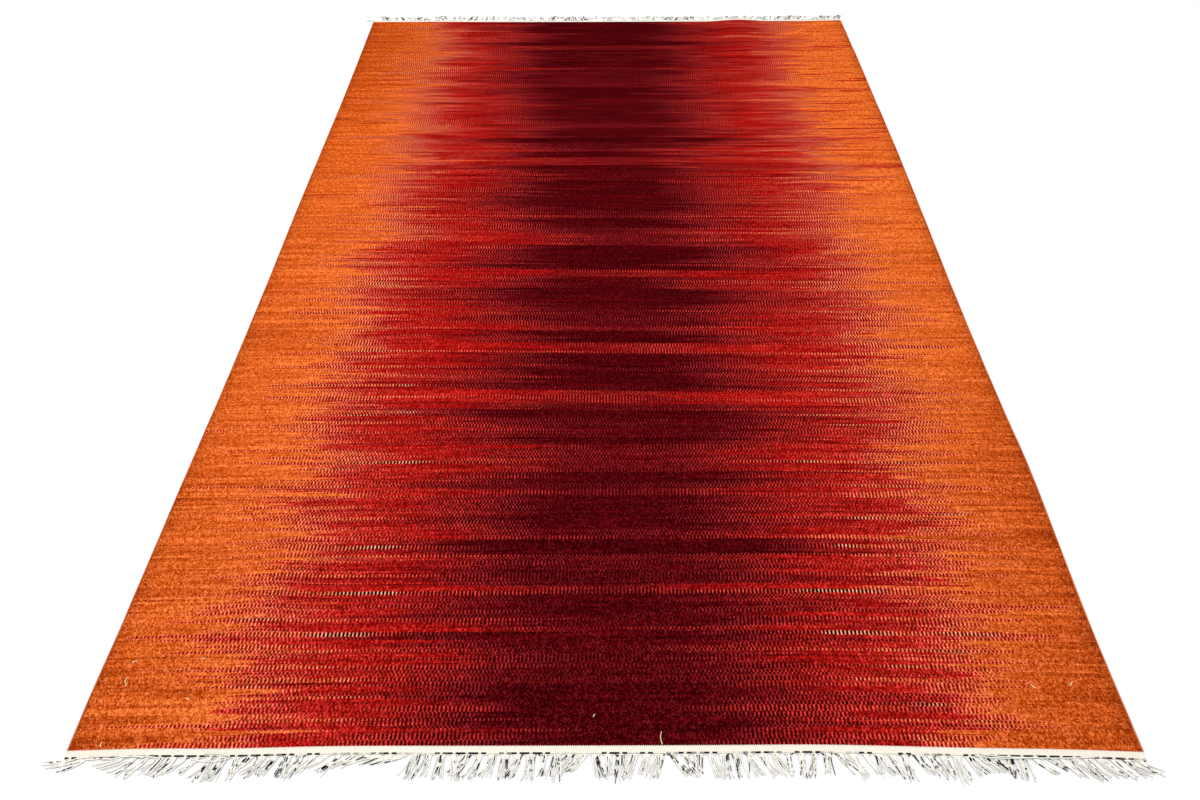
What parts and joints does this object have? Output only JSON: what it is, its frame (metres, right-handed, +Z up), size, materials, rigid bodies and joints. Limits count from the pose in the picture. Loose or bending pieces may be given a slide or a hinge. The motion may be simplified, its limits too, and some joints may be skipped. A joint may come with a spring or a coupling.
{
  "type": "kilim rug",
  "caption": "Flat-woven wool kilim rug lying flat, with bound side cords, white cotton end webs and a knotted warp fringe at both ends.",
  "frame": {"origin": "centre of the rug's box, on the floor under it", "axes": "+X across the rug to the right of the picture, +Y along it away from the camera, +Z up"},
  "size_m": [2.0402, 3.1299, 0.01],
  "materials": {
    "dyed_wool": "matt weft-faced tapestry weave in orange, red and dark maroon wool",
    "cord_wool": "matt overcast wool cord in a pale terracotta",
    "web_cotton": "matt plain-woven undyed cotton",
    "warp_cotton": "matt plied undyed cotton"
  },
  "bodies": {
    "root": {"wool_field": "dyed_wool", "side_cord_left": "cord_wool", "side_cord_right": "cord_wool", "end_band_near": "web_cotton", "end_band_far": "web_cotton", "fringe_near": "warp_cotton", "fringe_far": "warp_cotton"}
  },
  "joints": []
}
